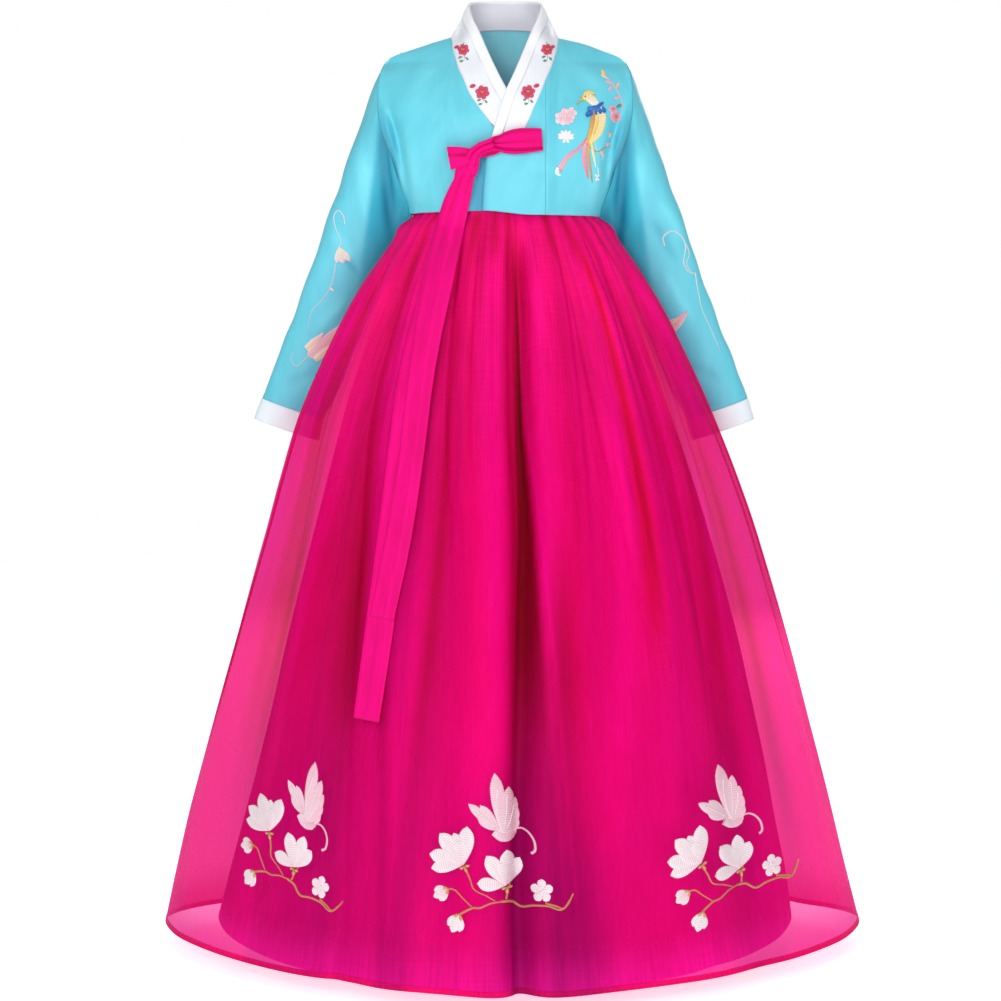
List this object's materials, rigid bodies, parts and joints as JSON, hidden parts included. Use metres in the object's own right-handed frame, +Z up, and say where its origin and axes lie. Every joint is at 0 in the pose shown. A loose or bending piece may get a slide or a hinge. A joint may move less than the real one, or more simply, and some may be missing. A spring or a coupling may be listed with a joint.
{
  "type": "korean hanbok",
  "caption": "Korean hanbok in its worn, hollow form: a short jacket with white collar and cuffs, tied with a long bow, over a full sheer skirt gathered high on an opaque lining.",
  "frame": {"origin": "where the shoulders carry the garment: midway between the two neck points of the jacket, 3.5 mm below them, on the line of the side seams", "axes": "+Z up along the body, -Y out of the front, +X towards the wearer's left"},
  "size_m": [1.0382, 0.7698, 1.3846],
  "materials": {
    "jacket_satin": "satin",
    "cuff_satin": "satin",
    "collar_satin": "satin",
    "collar_strip": "matte",
    "tie_ribbon": "sheer ribbon, several layers",
    "skirt_organza": "sheer organza",
    "skirt_lining": "satin"
  },
  "bodies": {
    "root": {"jeogori_back": "jacket_satin", "jeogori_front_right": "jacket_satin", "jeogori_front_left": "jacket_satin", "seop_left": "jacket_satin", "sleeve_right": "jacket_satin", "sleeve_left": "jacket_satin", "cuff_right": "cuff_satin", "cuff_left": "cuff_satin", "collar_band": "collar_satin", "collar_strip": "collar_strip", "tie_knot": "tie_ribbon", "tie_loop": "tie_ribbon", "tie_ear": "tie_ribbon", "tie_tail_long": "tie_ribbon", "tie_tail_short": "tie_ribbon", "chima_shell": "skirt_organza", "chima_lining": "skirt_lining", "chima_band": "skirt_lining"}
  },
  "joints": []
}
